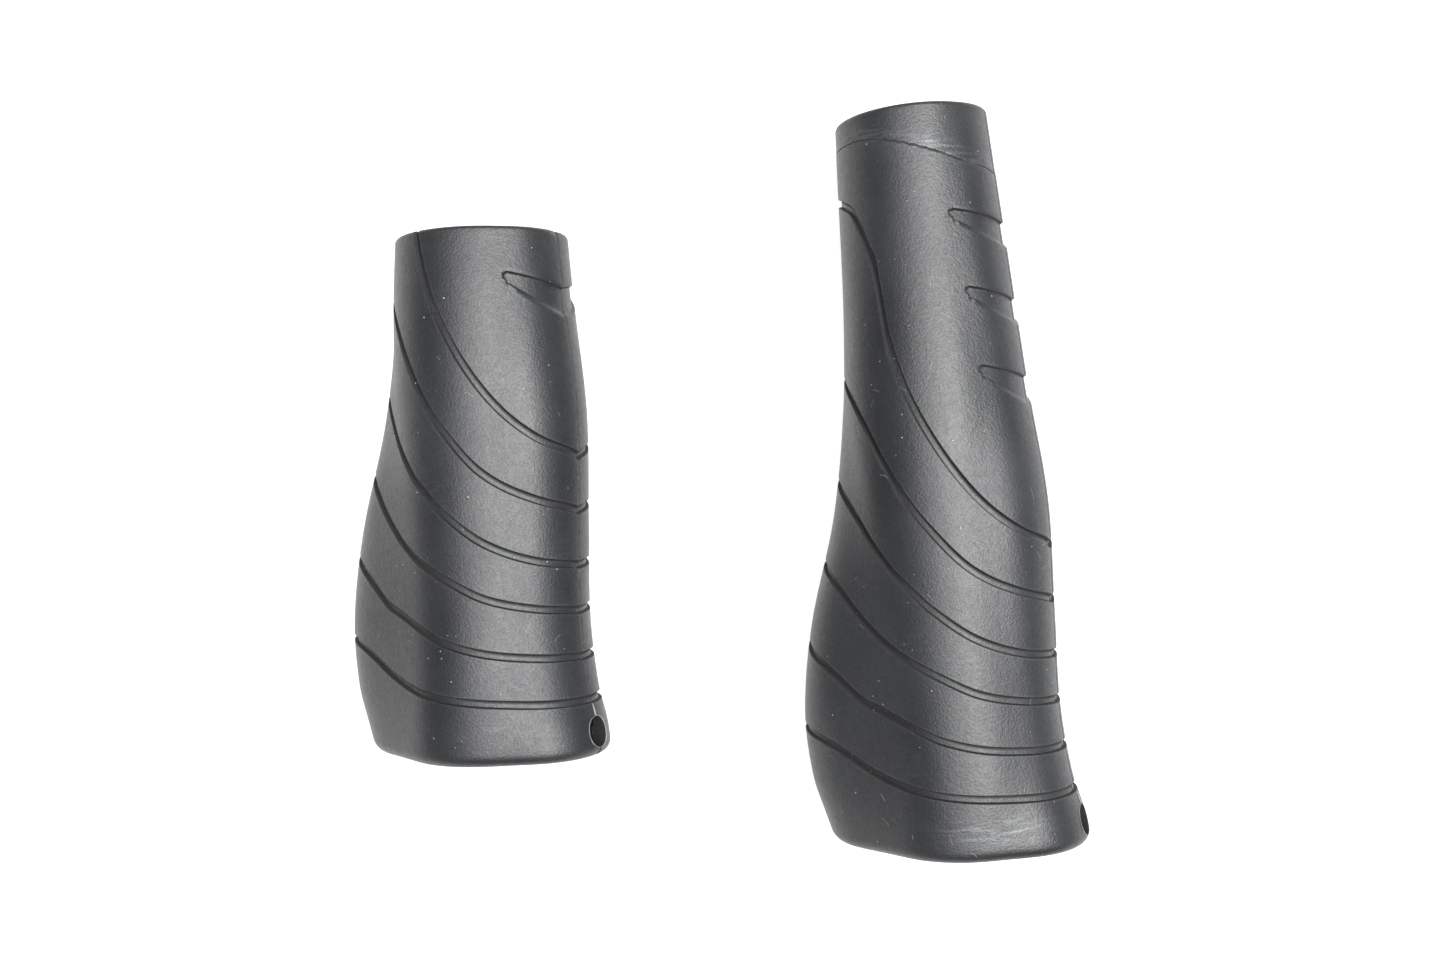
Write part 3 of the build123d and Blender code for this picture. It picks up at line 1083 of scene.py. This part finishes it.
    # ---- relief values
    def relief_values(self, turns: np.ndarray, rows: np.ndarray) -> dict[str, np.ndarray]:
        """Relief and rim values, with the mask of painted shade in the recesses, on the grid of columns and
        rows.

        Args:
            turns: Angles of the columns, in radians.
            rows: Distances of the rows, rows by columns.

        Returns:
            Arrays by name, each rows by columns.
        """
        relief = self.relief
        degrees = np.degrees(np.minimum(turns, 2 * np.pi - turns))
        reach = self.shape.reach(turns[None], rows)
        groove, rim, cavity = np.zeros_like(rows), np.zeros_like(rows), np.zeros_like(rows)
        for number in range(relief.groove_count):
            middle = relief.groove_place(degrees, number)
            offset = (rows - middle[None]) / self.steepness(turns, middle)[None]
            away = np.abs(offset)
            # Painted shade along the groove walls: darkened bands on the inboard and outboard walls.
            cavity = np.maximum(cavity, ease(1 - np.abs(offset - 0.52) / 0.36))
            cavity = np.maximum(cavity, 0.85 * ease(1 - np.abs(offset + 0.62) / 0.24))
            groove = np.maximum(groove, ease((relief.groove_half - away) / relief.groove_wall))
            rim = np.maximum(rim, ease(1 - np.abs(away - relief.groove_half - 0.08) / 0.35))
        notch = np.zeros_like(rows)
        for number in range(len(relief.notches)):
            depth, wall = relief.notch_depth(degrees[None] + 0 * rows, rows, reach, number)
            # Painted shade on the notches' steep walls.
            notch, cavity = np.maximum(notch, depth), np.maximum(cavity, wall)
        rim = np.maximum(rim, ease(1 - np.abs(notch - 0.15) / 0.25) * (notch > 0))
        aside = reach * np.abs(np.sin(turns))[None]
        seam = ease(1 - aside / relief.seam_half)
        finger_side = ease(1 - degrees / 60.0)[None]
        flash = ease((rows - relief.flash_from) / 0.3) * ease((relief.flash_to - rows) / 0.4)
        flash = flash * seam * finger_side
        nick = ease(1 - aside / relief.nick_half) * ease((1.2 - rows) / 0.7) * finger_side
        line = relief.witness_place(degrees)[None]
        crease = ease(1 - np.abs(rows - line) / 0.2)
        witness = crease + 0.45 * ease((rows - line) / 0.4)
        # Painted shade also along the witness crease, the parting seam and the nick under the hole.
        cavity = np.maximum(np.maximum(cavity, 0.75 * crease), np.maximum(seam - flash, nick))
        return {
            "groove": groove,
            "notch": notch,
            "seam": seam - 1.8 * flash + 1.5 * nick,
            "witness": witness,
            "rim": rim,
            "cavity": cavity,
            "lip": flash,
            "scuff": self.scuffs(degrees[None] + 0 * rows, rows, line),
        }

    def scuffs(self, degrees: np.ndarray, rows: np.ndarray, witness: np.ndarray) -> np.ndarray:
        """Where the body has been rubbed: by the outboard end and round the witness line.

        Args:
            degrees: Folded angles of the grid.
            rows: Distances of the grid.
            witness: Distance of the witness line in each column.

        Returns:
            0 where the rubber is fresh, up to 1 where it is rubbed.
        """
        share = 1.0 if self.size is Size.LONG else 0.15
        spot = share * np.exp(-(((degrees - 58.0) / 24.0) ** 2) - ((rows - 5.6) / 1.6) ** 2)
        strongest = 0.35 + 0.65 * ease(1 - np.abs(degrees - 62) / 30)
        collar = strongest * np.exp(-(((rows - witness - 1.0) / 1.6) ** 2))
        return np.clip(spot + 0.8 * collar, 0.0, 1.0)

    def outward(self, points: np.ndarray) -> np.ndarray:
        """Work out outward directions on a grid of points that closes on itself.

        Args:
            points: The grid, rows by columns.

        Returns:
            Unit vectors, one for each point.
        """
        around = np.roll(points, -1, 1) - np.roll(points, 1, 1)
        along = np.gradient(points, axis=0)
        normal = np.cross(around, along)
        return normal / np.maximum(np.linalg.norm(normal, axis=-1, keepdims=True), 1e-9)

    # ---- assembly
    @staticmethod
    def window_edge(grid: np.ndarray, box: tuple) -> np.ndarray:
        """Walk round the edge of a window in a grid.

        Args:
            grid: Vertex numbers or points, rows by columns.
            box: First and last row and first and last column of the window.

        Returns:
            The grid's entries on the edge, in order.
        """
        top, bottom, left, right = box
        first = [grid[top, column] for column in range(left, right)]
        second = [grid[row, right] for row in range(top, bottom)]
        third = [grid[bottom, column] for column in range(right, left, -1)]
        fourth = [grid[row, left] for row in range(bottom, top, -1)]
        return np.array(first + second + third + fourth)

    def grid_faces(self, mesh: SkinMesh, grid: np.ndarray, box: tuple) -> None:
        """Add the faces of a closed grid, leaving a window open.

        Args:
            mesh: The mesh that gathers vertices and faces.
            grid: Vertex numbers, rows by columns.
            box: First and last row and first and last column of the window.
        """
        top, bottom, left, right = box
        total = grid.shape[1]
        for row, (near, far) in enumerate(zip(grid, grid[1:])):
            for column in range(total):
                if top <= row < bottom and left <= column < right:
                    continue
                after = (column + 1) % total
                mesh.faces.append((near[column], near[after], far[after], far[column]))

    def build(self) -> bpy.types.Object:
        """Build the body on its seat, cut it to length, place it, and give it its relief and finish.

        Returns:
            The finished object.
        """
        label = self.size.label
        turns = self.columns()
        whole = self.gather(np.roll(turns, len(turns) // 2)).to_mesh(f"{label}_rubber")
        obj = bpy.data.objects.new(f"{label}_rubber_skin", self.cut_to_length(whole))
        bpy.context.scene.collection.objects.link(obj)
        self.place(obj, Seat.of(self.size, self.lip_width * MM))
        depths = (self.groove_depth, self.notch_depth, self.seam_depth, self.witness_depth)
        grow(obj, relief_nodes(RUBBER), {name: d * MM for name, d in zip(RELIEF_DEPTHS.values(), depths)})
        for polygon in obj.data.polygons:
            polygon.use_smooth = True
        obj.data.set_sharp_from_angle(angle=math.radians(50))
        return obj

    def gather(self, around: np.ndarray) -> SkinMesh:
        """Set out the full-length moulding, open at its inboard end.

        Args:
            around: Angles of the columns from 0 to a full turn, rolled so that the finger edge is inside.

        Returns:
            The mesh, with the skin, the access hole, the outboard face and the ring's pocket.
        """
        turns = np.where(around > np.pi + 1e-9, around - 2 * np.pi, around)
        rows = self.rows(around)
        points = self.shape.point(turns[None] + 0 * rows, rows)
        mesh = SkinMesh()
        grid = mesh.add(points, self.outward(points), **self.relief_values(around, rows))

        inside = np.nonzero(np.abs(turns) <= math.radians(self.patch_degrees))[0]
        edge_row = rows[:, inside[len(inside) // 2]]
        half = self.access_radius + self.patch_margin
        low = int(np.nonzero(edge_row < self.screw_place - half)[0][-1])
        high = int(np.nonzero(edge_row > self.screw_place + half)[0][0])
        box = (low, high, int(inside[0]), int(inside[-1]))
        self.grid_faces(mesh, grid, box)
        edge = self.window_edge(points, box)
        phase = np.arctan2(edge[:, 2] - self.screw_place, edge[:, 1])
        rings = self.skin_rings(mesh, edge, phase)
        pocket, pocket_box, boss = self.pocket_wall(mesh, turns, box)
        tube = self.hole_tube(mesh, phase)
        mesh.loft(self.window_edge(grid, box), *rings, *tube, boss, self.window_edge(pocket, pocket_box))
        self.grid_faces(mesh, pocket, pocket_box)
        self.outboard_face(mesh, turns, grid[0], pocket[0])
        mesh.loft(pocket[-1], self.ring(mesh, turns, self.sleeve_radius, self.pocket_end))
        return mesh

    def skin_rings(self, mesh: SkinMesh, edge: np.ndarray, phase: np.ndarray) -> list[np.ndarray]:
        """Lay rings of the skin from a window's edge in to the rim of the access hole, with its raised lip.

        Args:
            mesh: The mesh that gathers vertices and faces.
            edge: Points of the window's edge.
            phase: Their angles round the hole.

        Returns:
            The rings, the widest first.
        """
        circle = self.screw_circle(phase, self.access_radius)
        start = edge[:, 1:]
        rings = []
        flat = ((0.3, 0.0), (0.55, 0.0), (0.75, 0.0), (0.86, 0.0))
        raised = ((0.92, 0.05), (0.96, 0.09), (0.985, 0.06), (1.0, -0.06))
        for share, lift in flat + raised:
            spot = start + share * (circle - start)
            points = self.shape.project(spot[:, 0], spot[:, 1])
            points[:, 0] += lift
            seam = ease(1 - np.abs(spot[:, 0]) / self.relief.seam_half) * (share < 0.9)
            flash = seam * (spot[:, 1] > self.screw_place)
            front = np.zeros_like(points)
            front[:, 0] = 1.0
            lip = np.maximum(flash, float(0.93 < share < 0.99))
            # Painted shade on the innermost ring, at the hole's rim.
            cavity = float(share == 1.0)
            rings.append(mesh.add(points, front, seam=seam - 1.8 * flash, lip=lip, cavity=cavity))
        return rings

    def screw_circle(self, phase: np.ndarray, radius: float) -> np.ndarray:
        """Sideways and lengthways places of points on a circle round the screw's axis."""
        return np.stack([radius * np.cos(phase), self.screw_place + radius * np.sin(phase)], -1)

    def hole_tube(self, mesh: SkinMesh, phase: np.ndarray) -> list[np.ndarray]:
        """Lay rings of the access hole's wall, from the skin down to the ring's boss and round it, all marked
        for full painted shade.

        Args:
            mesh: The mesh that gathers vertices and faces.
            phase: The points' angles round the hole.

        Returns:
            The rings, the outermost first.
        """
        rings = []
        levels = (
            (self.boss_reach + 1.2, self.access_radius),
            (self.boss_reach + 0.4, self.access_radius),
            (self.boss_reach, self.access_radius),
            (self.boss_reach, self.boss_radius),
            (self.ring_radius + 1.0, self.boss_radius),
        )
        for level, radius in levels:
            points = np.column_stack([np.full_like(phase, level), self.screw_circle(phase, radius)])
            # The whole wall of the hole carries full painted shade.
            rings.append(mesh.add(points, cavity=1.0))
        return rings

    def pocket_wall(
        self, mesh: SkinMesh, turns: np.ndarray, box: tuple
    ) -> tuple[np.ndarray, tuple, np.ndarray]:
        """Wall of the pocket that holds the lock ring, with a window for the boss.

        Args:
            mesh: The mesh that gathers vertices and faces.
            turns: Angles of the columns.
            box: The skin's window, which this window matches in size.

        Returns:
            The wall's grid, its window and the ring of vertices round the boss.
        """
        top, bottom, left, right = box
        first = self.cap_depth + 0.12
        window = np.linspace(first, 2 * self.screw_place - first, bottom - top + 1)
        places = np.concatenate([[self.cap_depth], window, [self.pocket_end]])
        radius = self.ring_radius
        points = np.stack(
            [radius * np.cos(turns)[None] + 0 * places[:, None],
             radius * np.sin(turns)[None] + 0 * places[:, None],
             places[:, None] + 0 * turns[None]], -1
        )
        grid = mesh.add(points)
        pocket_box = (1, 1 + bottom - top, left, right)
        edge = self.window_edge(points, pocket_box)
        phase = np.arctan2(edge[:, 2] - self.screw_place, edge[:, 1])
        circle = self.screw_circle(phase, self.boss_radius)
        ring = np.column_stack([np.sqrt(radius**2 - circle[:, 0] ** 2), circle])
        return grid, pocket_box, mesh.add(ring)

    def ring(self, mesh: SkinMesh, turns: np.ndarray, radius: float | np.ndarray, place: float) -> np.ndarray:
        """Add a ring of vertices about the bar axis, a circle where the radius is one number."""
        points = np.stack([radius * np.cos(turns), radius * np.sin(turns), np.full_like(turns, place)], -1)
        return mesh.add(points)

    def outboard_face(self, mesh: SkinMesh, turns: np.ndarray, outer: np.ndarray, pocket: np.ndarray) -> None:
        """Add the flat outboard face and the cap's recess.

        Args:
            mesh: The mesh that gathers vertices and faces.
            turns: Angles of the columns.
            outer: Ring at the rounded edge.
            pocket: Ring at the start of the lock ring's pocket.
        """
        reach = self.shape.reach(turns, 0 * turns)
        chamfer = self.cap_recess + 0.15
        radii = [reach + share * (chamfer - reach) for share in (0.25, 0.5, 0.75, 0.93)]
        flat = [self.ring(mesh, turns, radius, 0.0) for radius in radii]
        steps = (
            (chamfer, 0.0), (self.cap_recess + 0.04, 0.05), (self.cap_recess, 0.16),
            (self.cap_recess, self.cap_depth),
        )
        recess = [self.ring(mesh, turns, radius, place) for radius, place in steps]
        mesh.loft(outer, *flat, *recess, pocket)

    def cut_to_length(self, mesh: bpy.types.Mesh) -> bpy.types.Mesh:
        """Cut the moulding to this grip's length, and finish its inboard end down to the sleeve's seat.

        Args:
            mesh: The full-length mesh, open at its inboard end.

        Returns:
            The same mesh, closed.
        """
        length = self.size.value
        start = length - self.inboard_round
        bm = bmesh.new()
        bm.from_mesh(mesh)
        geom = bm.verts[:] + bm.edges[:] + bm.faces[:]
        bmesh.ops.bisect_plane(
            bm, geom=geom, dist=1e-5, plane_co=(0, 0, start), plane_no=(0, 0, 1), clear_outer=True
        )
        bmesh.ops.remove_doubles(bm, verts=[v for v in bm.verts if abs(v.co.z - start) < 1e-4], dist=0.004)
        open_edges = [e for e in bm.edges if e.is_boundary]
        end_edges = [e for e in open_edges if all(abs(v.co.z - start) < 1e-4 for v in e.verts)]
        seat_edges = [e for e in open_edges if all(v.co.z < self.pocket_end + 0.1 for v in e.verts)]
        loop = self.ordered(end_edges)
        ring = loop
        for angle in (0.4, 0.8, 1.15, math.pi / 2):
            inset = self.inboard_round * (1 - math.cos(angle))
            climb = self.inboard_round * math.sin(angle)
            ring = self.next_ring(bm, loop, ring, lambda v, i=inset: v.co.xy.length - i, start + climb)
        face_edge = ring
        mouth = (
            (self.lip_bore + 0.25, length), (self.lip_bore, length - 0.2),
            (self.lip_bore, length - self.lip_width), (self.sleeve_radius, length - self.lip_width),
        )
        for radius, place in mouth:
            ring = self.next_ring(bm, face_edge, ring, lambda v, r=radius: r, place)
        last_edges = [bm.edges.get((ring[i], ring[(i + 1) % len(ring)])) for i in range(len(ring))]
        bmesh.ops.bridge_loops(bm, edges=last_edges + seat_edges)
        bmesh.ops.recalc_face_normals(bm, faces=bm.faces)
        for layer in bm.verts.layers.float.values():
            for v in bm.verts:
                if v.co.xy.length < self.lip_bore + 0.5:
                    v[layer] = 0.0
        bm.to_mesh(mesh)
        bm.free()
        return mesh

    @staticmethod
    def ordered(edges: list) -> list:
        """Put the vertices of a closed loop of edges in order.

        Args:
            edges: The loop's edges, in any order.

        Returns:
            Its vertices, in order round it.
        """
        links = {}
        for edge in edges:
            for one, other in (edge.verts, reversed(edge.verts)):
                links.setdefault(one, []).append(other)
        start = edges[0].verts[0]
        loop, before, here = [start], None, start
        while True:
            ahead = [v for v in links[here] if v is not before]
            before, here = here, ahead[0]
            if here is start:
                return loop
            loop.append(here)

    @staticmethod
    def next_ring(bm: bmesh.types.BMesh, model: list, ring: list, radius: Callable, place: float) -> list:
        """Add a ring beyond another one and join the two.

        Args:
            bm: The mesh.
            model: Loop whose directions and relief values the new ring takes.
            ring: Loop that it is joined to.
            radius: Function from a vertex of the model to the new vertex's radius.
            place: Distance from the outboard end.

        Returns:
            The new loop.
        """
        made = []
        for v in model:
            spot = v.co.xy.normalized() * radius(v)
            made.append(bm.verts.new((spot.x, spot.y, place), v))
        for step in range(len(ring)):
            after = (step + 1) % len(ring)
            bm.faces.new((ring[step], ring[after], made[after], made[step]))
        return made

    def place(self, obj: bpy.types.Object, seat: Seat) -> None:
        """Move the mesh from its seat to its place in the frame, with its outward directions.

        Args:
            obj: The body's object, which itself stays at the origin.
            seat: Where the grip sits.
        """
        matrix = seat.matrix()
        turn = np.array(matrix.to_3x3()) / MM
        layer = obj.data.attributes["outward"]
        directions = np.zeros(len(obj.data.vertices) * 3, np.float32)
        layer.data.foreach_get("vector", directions)
        layer.data.foreach_set("vector", (directions.reshape(-1, 3) @ turn.T).astype(np.float32).ravel())
        obj.data.transform(matrix)
        if matrix.determinant() < 0:
            obj.data.flip_normals()


@dataclass
class Grip:
    """One grip: its rubber body and the finishes of the parts inside it."""

    size: Size
    finishes: dict = field(default_factory=lambda: {
        "core_sleeve": NYLON,
        "lock_ring": DARK_ALUMINIUM,
        "set_screw": BLACK_STEEL,
        "pressure_pad": BRASS,
        "end_cap": CAP_PLASTIC,
    })

    def build(self) -> None:
        """Build the rubber body and dress the CAD parts of this grip."""
        label = self.size.label
        rubber = RubberBody(self.size).build()
        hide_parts(f"{label}_rubber_body")
        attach(rubber, f"{label}_grip")
        LOG.info("%s rubber body: %d faces", label, len(rubber.data.polygons))
        for part, finish in self.finishes.items():
            node = frame["nodes"][f"{label}_{part}"]
            node.data.materials.clear()
            node.data.materials.append(finish.material())
            LOG.info("%s %s dressed in %s", label, part, finish.name)


# -------------------------------------------------------------------------------------------------- studio
@dataclass(frozen=True)
class Studio:
    """Pale floor, soft lights and the camera straight above."""

    floor_size: float = 3.0
    floor_colour: tuple = (0.42, 0.42, 0.42, 1.0)
    floor_glow: float = 0.68
    camera_height: float = 0.26202
    camera_offset: tuple = (0.00534, 0.00148)
    camera_turn: float = 4.745
    camera_lean: float = 0.355
    lens: float = 33.64
    world_strength: float = 0.03
    backdrop: float = 0.86
    light_width: float = 0.50
    light_depth: float = 0.80
    lights_plan: tuple = (
        ("overhead_right", (0.37, 0.05, 0.85), 21.5),
        ("overhead_left", (-0.13, 0.05, 0.85), 9.5),
    )

    def build(self) -> None:
        """Set the floor, the lights, the world and the camera."""
        self.floor()
        self.lights()
        self.world()
        self.camera()

    def floor(self) -> None:
        """Lay a plain pale floor under the grips."""
        half = self.floor_size / 2
        mesh = bpy.data.meshes.new("floor")
        corners = [(-half, -half, 0), (half, -half, 0), (half, half, 0), (-half, half, 0)]
        mesh.from_pydata(corners, [], [(0, 1, 2, 3)])
        obj = bpy.data.objects.new("floor", mesh)
        bpy.context.scene.collection.objects.link(obj)
        obj.location.z = CAD_BOX[0][2] - 0.0002
        material = bpy.data.materials.new("studio_floor")
        material.use_nodes = True
        shader = material.node_tree.nodes["Principled BSDF"]
        shader.inputs["Base Color"].default_value = self.floor_colour
        shader.inputs["Roughness"].default_value = 0.9
        shader.inputs["Emission Color"].default_value = (1.0, 1.0, 1.0, 1.0)
        shader.inputs["Emission Strength"].default_value = self.floor_glow
        mesh.materials.append(material)

    def lights(self) -> None:
        """Hang two soft boxes overhead, the brighter one to the right, so that the sheen fades leftwards."""
        for name, place, power in self.lights_plan:
            light = bpy.data.lights.new(name, "AREA")
            light.shape = "RECTANGLE"
            light.size = self.light_width
            light.size_y = self.light_depth
            light.energy = power
            obj = bpy.data.objects.new(name, light)
            obj.location = place
            bpy.context.scene.collection.objects.link(obj)

    def world(self) -> None:
        """Surround the set with faint white light that looks pale to the camera."""
        world = bpy.data.worlds.new("studio")
        world.use_nodes = True
        tree = Tree(world.node_tree)
        background = world.node_tree.nodes["Background"]
        background.inputs["Color"].default_value = (1.0, 1.0, 1.0, 1.0)
        seen = tree.node("ShaderNodeLightPath").outputs["Is Camera Ray"]
        strength = tree.math("MULTIPLY_ADD", seen, self.backdrop, self.world_strength)
        world.node_tree.links.new(strength, background.inputs["Strength"])
        bpy.context.scene.world = world

    def camera(self) -> None:
        """Hang the camera above the middle of the pair, turned a little about its own axis."""
        data = bpy.data.cameras.new("camera")
        data.lens, data.sensor_width, data.clip_start = self.lens, 36.0, 0.01
        obj = bpy.data.objects.new("camera", data)
        turn = Matrix.Rotation(math.radians(-self.camera_turn), 4, "Z")
        lean = Matrix.Rotation(math.radians(self.camera_lean), 4, "X")
        place = Matrix.Translation((*self.camera_offset, self.camera_height))
        obj.matrix_world = place @ turn @ lean
        bpy.context.scene.collection.objects.link(obj)
        bpy.context.scene.camera = obj


def main() -> None:
    """Build both grips and the studio round them."""
    logging.basicConfig(level=logging.INFO, format="%(name)s: %(message)s", stream=sys.stdout)
    for size in Size:
        Grip(size).build()
    Studio().build()
    bpy.context.scene.view_settings.view_transform = "Standard"


if __name__ == "__main__":
    main()
